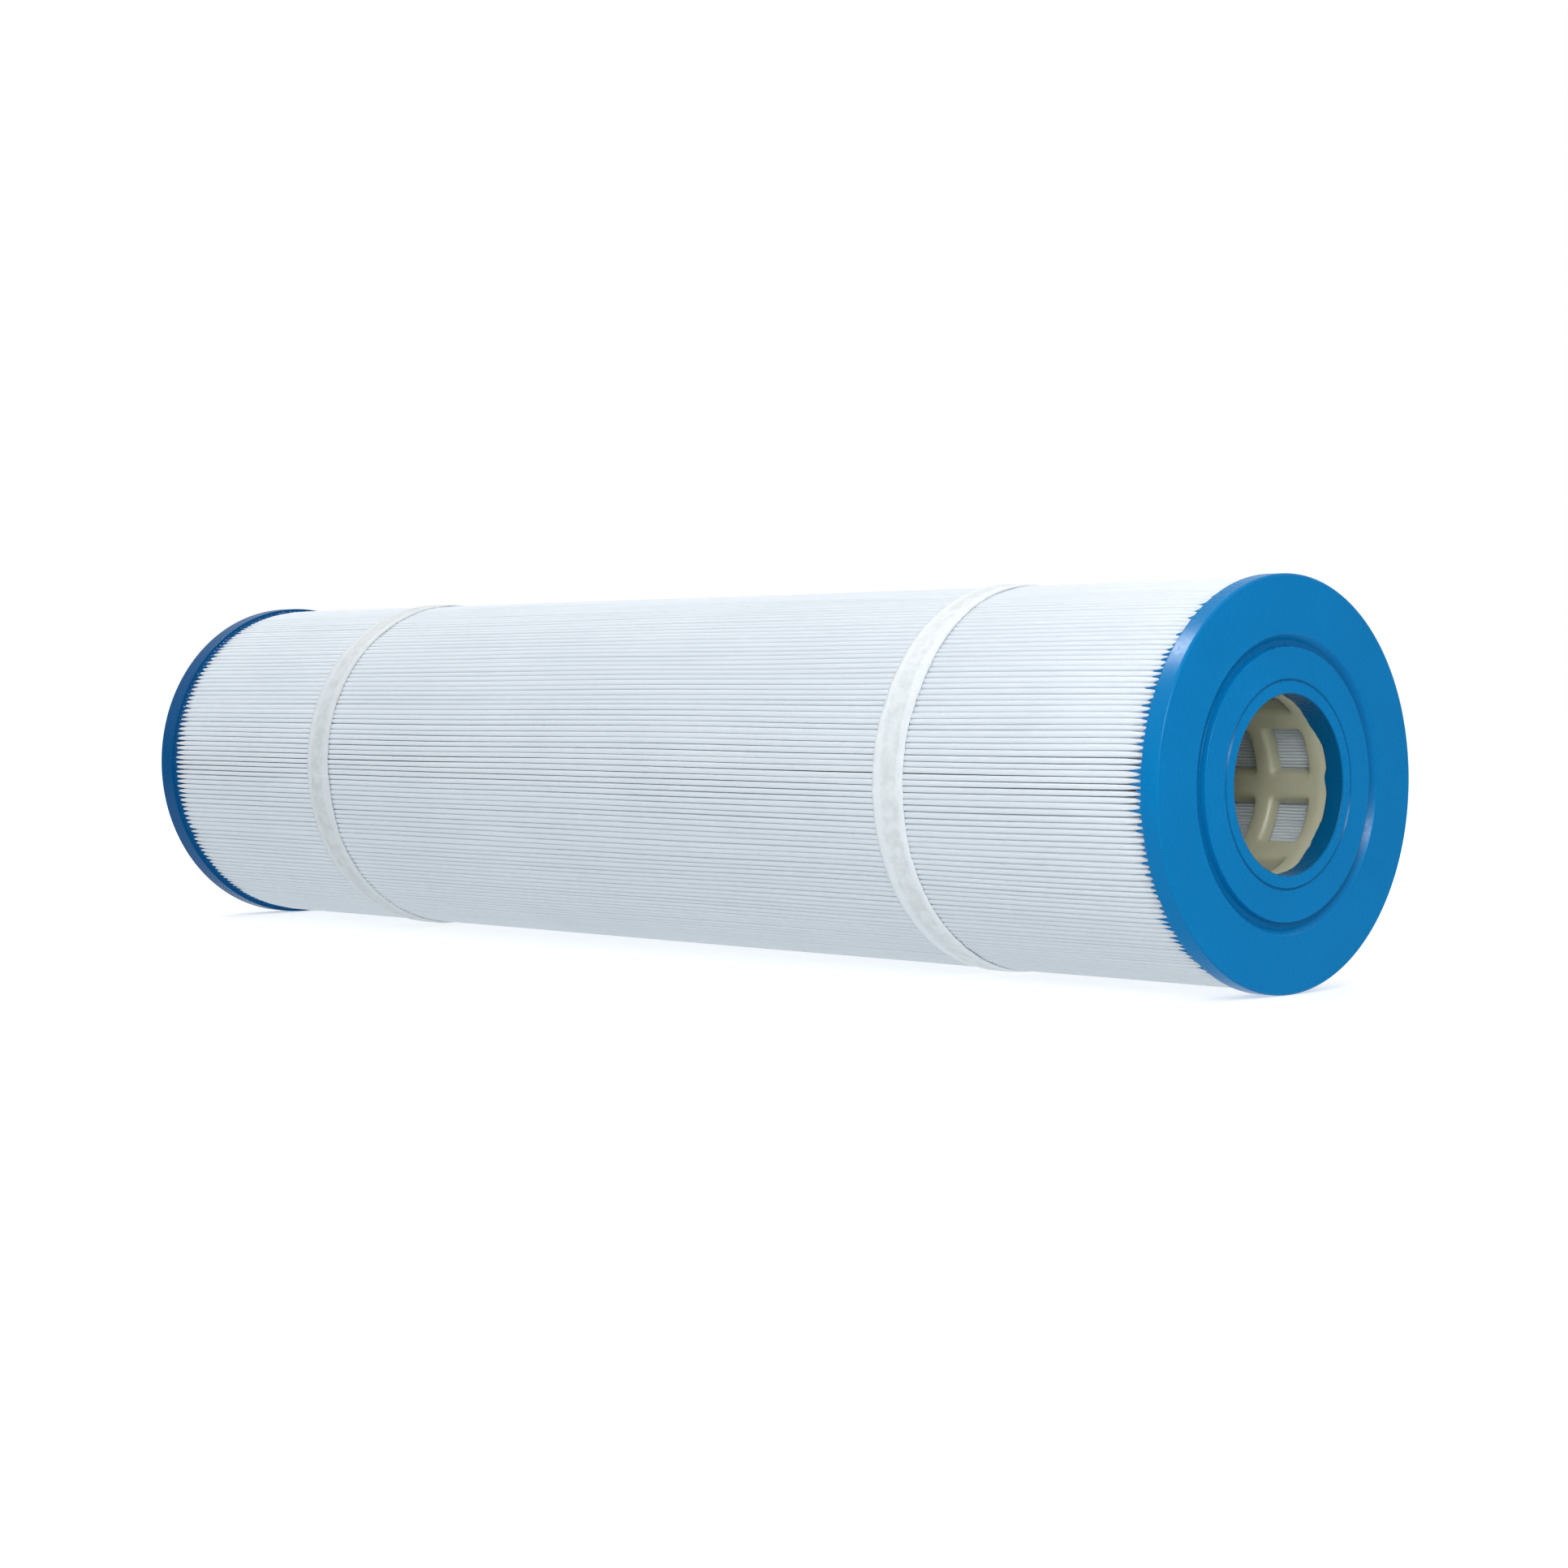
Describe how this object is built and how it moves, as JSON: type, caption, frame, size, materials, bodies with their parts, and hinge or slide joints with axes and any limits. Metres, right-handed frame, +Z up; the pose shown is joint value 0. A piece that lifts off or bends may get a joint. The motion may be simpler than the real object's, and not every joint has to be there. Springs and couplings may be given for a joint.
{
  "type": "filter cartridge",
  "caption": "Long pleated filter cartridge with an open soft end cap at each end, a moulded lattice core and strips that hold the pleats, for a pool or spa filter housing.",
  "frame": {"origin": "on the plane that the cartridge lies on, under the middle of its length", "axes": "+X along the cartridge's axis towards the front end cap, +Z up, the axis 62.7 mm above the origin"},
  "size_m": [0.508, 0.1254, 0.1254],
  "materials": {
    "end_cap": "satin moulded plastisol, mid blue",
    "media": "spun-bonded polyester, white",
    "core": "natural ivory moulding",
    "hot_melt": "off-white hot melt",
    "band": "white non-woven strip"
  },
  "bodies": {
    "root": {"front_end_cap": "end_cap", "rear_end_cap": "end_cap", "pleated_media": "media", "media_seam_melt": "hot_melt", "core_segment_1": "core", "core_segment_2": "core", "core_segment_3": "core", "core_segment_4": "core", "front_band_melt": "hot_melt", "rear_band_melt": "hot_melt", "front_band": "band", "rear_band": "band"}
  },
  "joints": []
}
